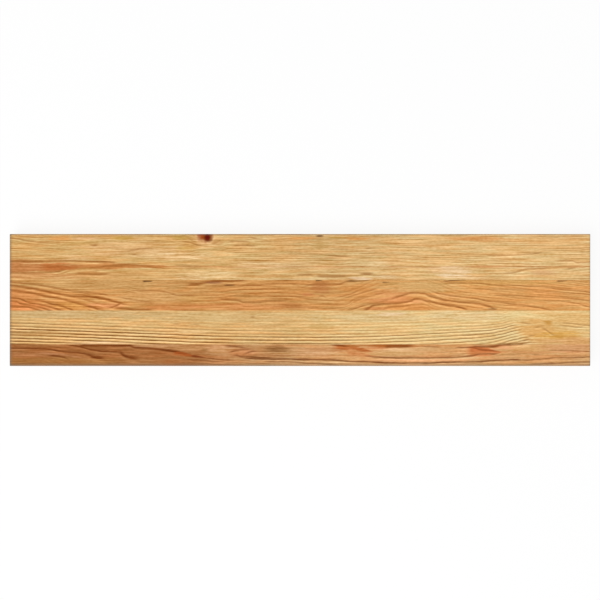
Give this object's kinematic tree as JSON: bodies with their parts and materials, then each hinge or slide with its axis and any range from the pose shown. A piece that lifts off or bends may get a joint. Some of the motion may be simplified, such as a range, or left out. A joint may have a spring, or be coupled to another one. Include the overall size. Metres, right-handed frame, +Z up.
{
  "type": "stair tread",
  "caption": "Flat rectangular solid larch stair tread, glued up edge to edge from full-length staves of mixed width and tone, with all outer arrises lightly eased.",
  "frame": {"origin": "centre of the underside", "axes": "+X along the tread's length, +Y from the front edge towards the riser, +Z up out of the walking face"},
  "size_m": [1.1, 0.25, 0.04],
  "materials": {
    "pale_tan_larch": "sanded raw larch, pale tan, fine grain, one dark knot at the back edge",
    "reddish_larch": "sanded raw larch, reddish, cathedral grain",
    "straw_larch": "sanded raw larch, straw yellow, straight lined grain",
    "brown_larch": "sanded raw larch, brown heartwood, streaked grain"
  },
  "bodies": {
    "root": {"back_stave": "pale_tan_larch", "back_middle_stave": "reddish_larch", "front_middle_stave": "straw_larch", "nosing_stave": "brown_larch"}
  },
  "joints": []
}
